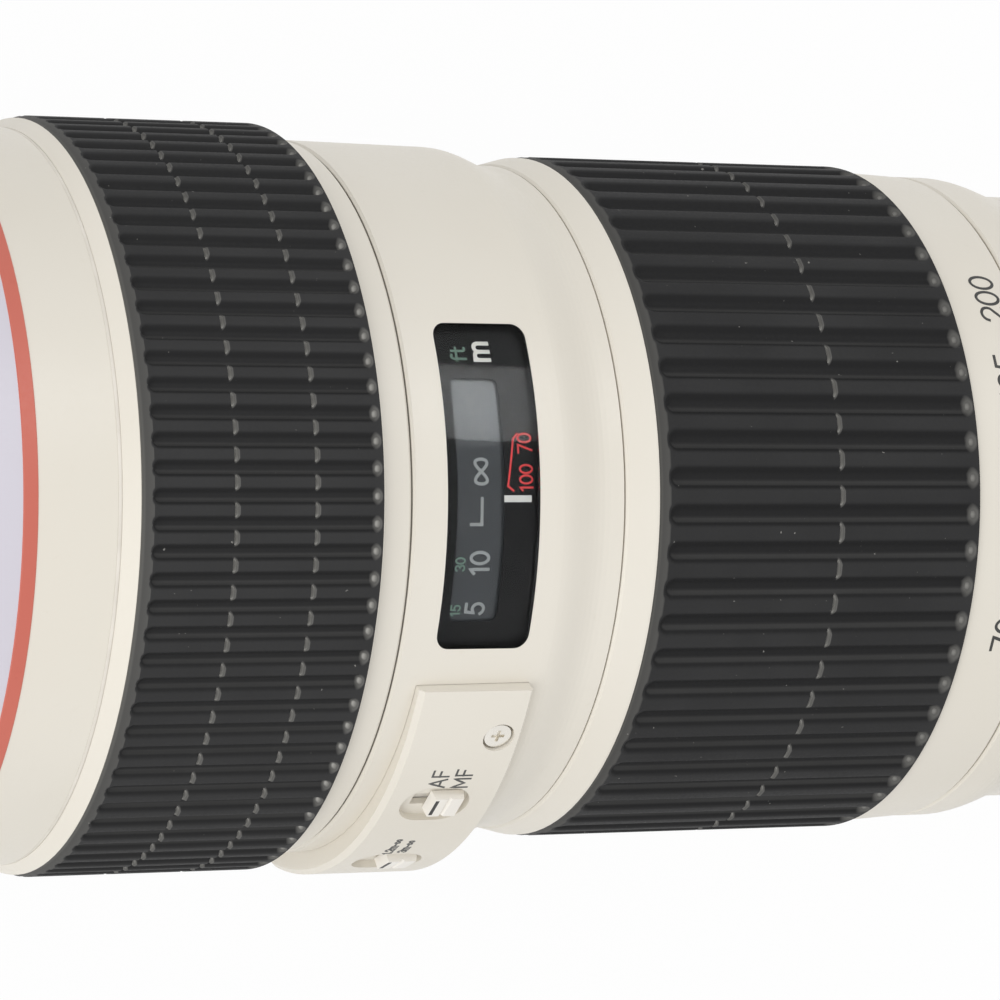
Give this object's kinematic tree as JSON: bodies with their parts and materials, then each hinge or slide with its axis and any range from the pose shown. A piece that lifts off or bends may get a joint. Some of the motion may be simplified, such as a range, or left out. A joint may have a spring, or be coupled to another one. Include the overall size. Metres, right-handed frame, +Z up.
{
  "type": "camera zoom lens",
  "caption": "White telephoto zoom lens with ribbed rubber focus and zoom rings, a distance window, a switch panel and a bayonet mount; inner focusing and inner zooming.",
  "frame": {"origin": "centre of the bayonet flange's face, on the optical axis", "axes": "+X along the optical axis out of the bayonet, so the front glass looks towards -X; +Z up through the distance window; the switch panel is on the -Y side"},
  "size_m": [0.1779, 0.0767, 0.076],
  "materials": {
    "white_paint": "fine-textured cream-white enamel on light alloy",
    "black_paint": "matt black anodised alloy",
    "grip_rubber": "matt ribbed rubber",
    "red_paint": "satin red enamel on light alloy",
    "alloy": "turned alloy",
    "steel": "turned and polished steel",
    "brass": "turned brass",
    "contact_gold": "gold-plated",
    "black_plastic": "moulded, matt",
    "white_plastic": "moulded, satin",
    "board_green": "solder-masked board",
    "lens_glass": "polished and coated",
    "window_clear": "clear polished pane"
  },
  "bodies": {
    "barrel": {"front_tube": "alloy", "main_tube": "alloy", "filter_ring": "black_paint", "name_ring": "white_paint", "accent_ring": "red_paint", "front_barrel": "white_paint", "main_barrel": "white_paint", "window_pane": "window_clear", "switch_panel": "white_plastic", "panel_screws": "steel", "rear_barrel": "white_paint", "lens_mount": "steel", "mount_screws": "steel", "rear_baffle": "black_plastic", "contact_block": "black_plastic", "contact_pins": "contact_gold", "main_board": "board_green", "front_cell": "black_paint", "front_element": "lens_glass", "front_doublet": "lens_glass", "front_retainer": "black_paint", "focus_guide": "alloy", "zoom_guide": "alloy", "motor_rotor": "alloy", "motor_stator": "brass", "iris_housing": "black_paint", "relay_cell": "black_paint", "relay_doublet": "lens_glass", "rear_element": "lens_glass"},
    "focus_ring": {"focus_sleeve": "white_paint", "focus_grip": "grip_rubber"},
    "focus_drive": {"drive_ring": "alloy", "focus_key": "steel", "focus_cam": "alloy", "scale_drum": "black_plastic"},
    "roller_1": {"roller_1": "steel"},
    "roller_2": {"roller_2": "steel"},
    "roller_3": {"roller_3": "steel"},
    "focus_group": {"focus_cell": "black_paint", "focus_lens": "lens_glass"},
    "zoom_ring": {"zoom_sleeve": "white_paint", "zoom_grip": "grip_rubber", "zoom_key": "steel", "cam_tube": "alloy"},
    "variator": {"variator_cell": "black_paint", "variator_lens": "lens_glass"},
    "compensator": {"compensator_cell": "black_paint", "compensator_lens": "lens_glass"},
    "mode_switch": {"mode_switch": "white_plastic"},
    "range_switch": {"range_switch": "white_plastic"},
    "iris_ring": {"iris_ring": "alloy"},
    "blade_1": {"blade_1": "black_paint"},
    "blade_2": {"blade_2": "black_paint"},
    "blade_3": {"blade_3": "black_paint"},
    "blade_4": {"blade_4": "black_paint"},
    "blade_5": {"blade_5": "black_paint"},
    "blade_6": {"blade_6": "black_paint"},
    "blade_7": {"blade_7": "black_paint"},
    "blade_8": {"blade_8": "black_paint"}
  },
  "joints": [
    {"name": "focus_turn", "type": "hinge", "parent": "barrel", "child": "focus_ring", "pos_m": [0, 0, 0], "axis": [-1, 0, 0], "range_deg": [0, 125]},
    {"name": "drive_turn", "type": "hinge", "parent": "barrel", "child": "focus_drive", "pos_m": [0, 0, 0], "axis": [-1, 0, 0], "range_deg": [0, 62.5]},
    {"name": "focus_slide", "type": "slide", "parent": "barrel", "child": "focus_group", "axis": [-1, 0, 0], "range_m": [0, 0.01]},
    {"name": "zoom_turn", "type": "hinge", "parent": "barrel", "child": "zoom_ring", "pos_m": [0, 0, 0], "axis": [1, 0, 0], "range_deg": [-24, 36]},
    {"name": "variator_slide", "type": "slide", "parent": "barrel", "child": "variator", "axis": [1, 0, 0], "range_m": [-0.0104, 0.0156]},
    {"name": "compensator_slide", "type": "slide", "parent": "barrel", "child": "compensator", "axis": [-1, 0, 0], "range_m": [-0.0032, 0.0048]},
    {"name": "mode_slide", "type": "slide", "parent": "barrel", "child": "mode_switch", "axis": [-1, 0, 0], "range_m": [0, 0.0022]},
    {"name": "range_slide", "type": "slide", "parent": "barrel", "child": "range_switch", "axis": [-1, 0, 0], "range_m": [0, 0.0022]},
    {"name": "iris_turn", "type": "hinge", "parent": "barrel", "child": "iris_ring", "pos_m": [0, 0, 0], "axis": [1, 0, 0], "range_deg": [0, 32]},
    {"name": "roller_1_spin", "type": "hinge", "parent": "focus_drive", "child": "roller_1", "pos_m": [-0.1113, 0, 0], "axis": [0, -0.342, -0.9397], "range_deg": [0, 1165]},
    {"name": "roller_2_spin", "type": "hinge", "parent": "focus_drive", "child": "roller_2", "pos_m": [-0.1113, 0, 0], "axis": [0, -0.6428, 0.766], "range_deg": [0, 1165]},
    {"name": "roller_3_spin", "type": "hinge", "parent": "focus_drive", "child": "roller_3", "pos_m": [-0.1113, 0, 0], "axis": [0, 0.9848, 0.1736], "range_deg": [0, 1165]},
    {"name": "blade_1_swing", "type": "hinge", "parent": "barrel", "child": "blade_1", "pos_m": [-0.042, 0.0215, 0], "axis": [1, 0, 0], "range_deg": [0, 32]},
    {"name": "blade_2_swing", "type": "hinge", "parent": "barrel", "child": "blade_2", "pos_m": [-0.042, 0.0152, 0.0152], "axis": [1, 0, 0], "range_deg": [0, 32]},
    {"name": "blade_3_swing", "type": "hinge", "parent": "barrel", "child": "blade_3", "pos_m": [-0.042, 0, 0.0215], "axis": [1, 0, 0], "range_deg": [0, 32]},
    {"name": "blade_4_swing", "type": "hinge", "parent": "barrel", "child": "blade_4", "pos_m": [-0.042, -0.0152, 0.0152], "axis": [1, 0, 0], "range_deg": [0, 32]},
    {"name": "blade_5_swing", "type": "hinge", "parent": "barrel", "child": "blade_5", "pos_m": [-0.042, -0.0215, 0], "axis": [1, 0, 0], "range_deg": [0, 32]},
    {"name": "blade_6_swing", "type": "hinge", "parent": "barrel", "child": "blade_6", "pos_m": [-0.042, -0.0152, -0.0152], "axis": [1, 0, 0], "range_deg": [0, 32]},
    {"name": "blade_7_swing", "type": "hinge", "parent": "barrel", "child": "blade_7", "pos_m": [-0.042, 0, -0.0215], "axis": [1, 0, 0], "range_deg": [0, 32]},
    {"name": "blade_8_swing", "type": "hinge", "parent": "barrel", "child": "blade_8", "pos_m": [-0.042, 0.0152, -0.0152], "axis": [1, 0, 0], "range_deg": [0, 32]}
  ],
  "couplings": [
    {"joint": "drive_turn", "follows": "focus_turn", "ratio": 0.5},
    {"joint": "focus_slide", "follows": "focus_turn", "m_per_rad": 0.0045837},
    {"joint": "variator_slide", "follows": "zoom_turn", "m_per_rad": 0.024828},
    {"joint": "compensator_slide", "follows": "zoom_turn", "m_per_rad": 0.0076394},
    {"joint": "roller_1_spin", "follows": "focus_turn", "ratio": 9.2914},
    {"joint": "roller_2_spin", "follows": "focus_turn", "ratio": 9.2914},
    {"joint": "roller_3_spin", "follows": "focus_turn", "ratio": 9.2914},
    {"joint": "blade_1_swing", "follows": "iris_turn", "ratio": 1},
    {"joint": "blade_2_swing", "follows": "iris_turn", "ratio": 1},
    {"joint": "blade_3_swing", "follows": "iris_turn", "ratio": 1},
    {"joint": "blade_4_swing", "follows": "iris_turn", "ratio": 1},
    {"joint": "blade_5_swing", "follows": "iris_turn", "ratio": 1},
    {"joint": "blade_6_swing", "follows": "iris_turn", "ratio": 1},
    {"joint": "blade_7_swing", "follows": "iris_turn", "ratio": 1},
    {"joint": "blade_8_swing", "follows": "iris_turn", "ratio": 1}
  ]
}
